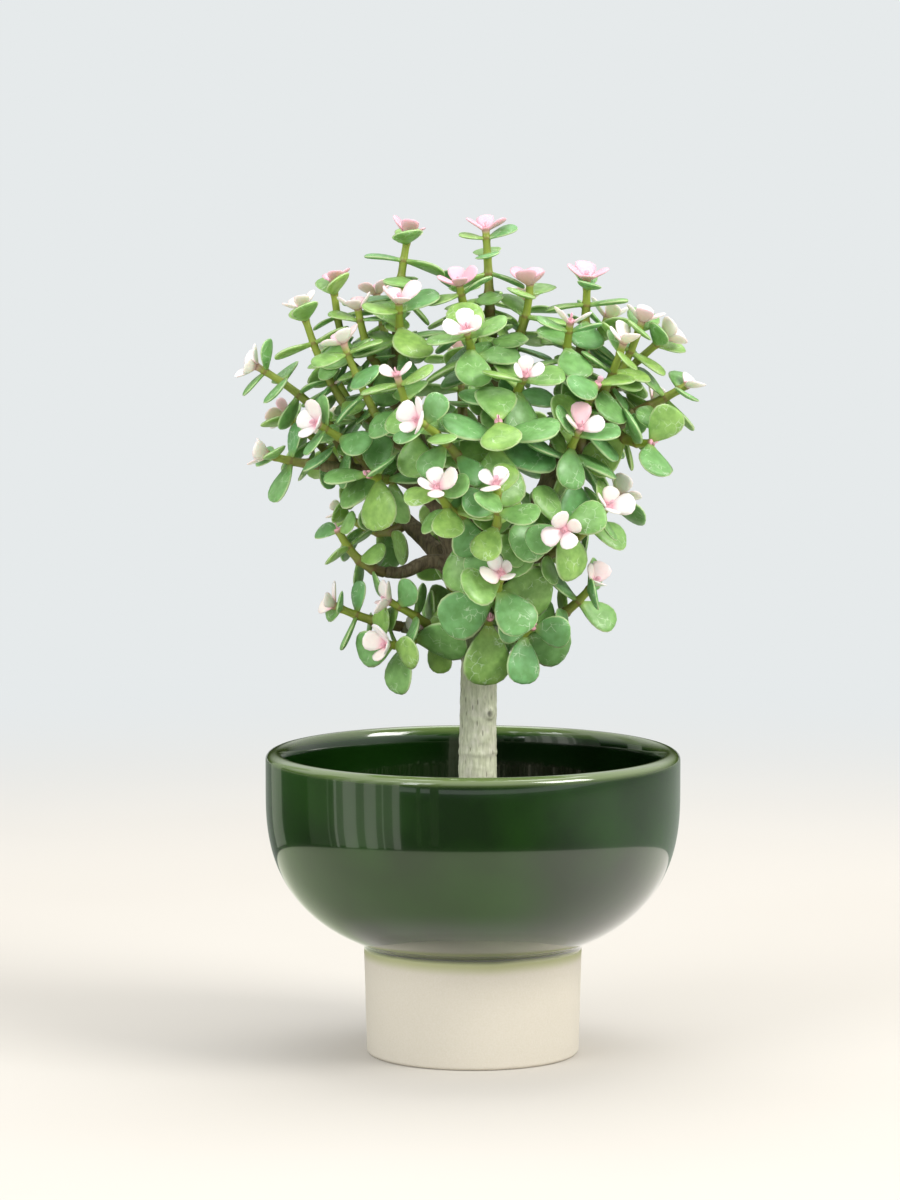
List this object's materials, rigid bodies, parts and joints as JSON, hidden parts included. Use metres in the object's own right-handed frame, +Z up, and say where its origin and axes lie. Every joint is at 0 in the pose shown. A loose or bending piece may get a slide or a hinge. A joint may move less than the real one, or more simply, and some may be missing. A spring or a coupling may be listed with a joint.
{
  "type": "potted jade plant",
  "caption": "Small-leaved variegated jade grown as a miniature tree, in a round glazed stoneware bowl on an unglazed cylindrical foot.",
  "frame": {"origin": "centre of the foot's flat underside", "axes": "+Z up, -Y towards the front, +X to the right as seen from the front"},
  "size_m": [0.1906, 0.17, 0.3442],
  "materials": {
    "glazed_stoneware": "glossy dark green glaze on the bowl, bare matt cream clay on the foot",
    "potting_mix": "dark gritty cactus mix, barely damp",
    "bark": "smooth grey-green bark, browner on the limbs",
    "leaf": "fleshy green leaf with a soft sheen and a thin pale rim",
    "young_leaf": "waxy cream to pink young leaf",
    "green_stem": "fleshy olive green stem with brown rings at its nodes"
  },
  "bodies": {
    "root": {"back_left_shoot_1": "leaf", "back_left_shoot_2": "leaf", "back_low_shoot_1": "leaf", "back_low_shoot_2": "leaf", "back_right_shoot_1": "leaf", "back_right_shoot_2": "leaf", "back_right_shoot_3": "leaf", "back_shoot_1": "leaf", "back_shoot_2": "leaf", "back_shoot_3": "leaf", "back_shoot_4": "leaf", "centre_shoot_1": "leaf", "centre_shoot_2": "leaf", "centre_shoot_3": "leaf", "centre_shoot_4": "leaf", "centre_shoot_5": "leaf", "centre_shoot_6": "leaf", "centre_shoot_7": "leaf", "centre_shoot_8": "leaf", "far_left_shoot_1": "leaf", "far_left_shoot_2": "leaf", "far_left_shoot_3": "leaf", "far_left_shoot_4": "leaf", "far_left_shoot_5": "leaf", "footed_bowl": "glazed_stoneware", "front_right_shoot_1": "leaf", "front_right_shoot_2": "leaf", "front_shoot_1": "leaf", "front_shoot_2": "leaf", "front_shoot_3": "leaf", "front_shoot_4": "leaf", "front_shoot_5": "leaf", "left_shoot_1": "leaf", "left_shoot_2": "leaf", "left_shoot_3": "leaf", "left_shoot_4": "leaf", "left_shoot_5": "leaf", "left_shoot_6": "leaf", "left_shoot_7": "leaf", "left_shoot_8": "leaf", "left_shoot_9": "leaf", "low_left_shoot_1": "leaf", "low_left_shoot_2": "leaf", "low_left_shoot_3": "leaf", "low_right_shoot_1": "leaf", "low_right_shoot_2": "leaf", "mid_left_shoot_1": "leaf", "potting_mix": "potting_mix", "right_shoot_1": "leaf", "right_shoot_2": "leaf", "right_shoot_3": "leaf", "right_shoot_4": "leaf", "right_shoot_5": "leaf", "right_shoot_6": "leaf", "trunk_and_limbs": "bark", "upper_right_shoot_1": "leaf", "upper_right_shoot_2": "leaf", "upper_right_shoot_3": "leaf", "upper_right_shoot_4": "leaf", "upper_right_shoot_5": "leaf"}
  },
  "joints": []
}
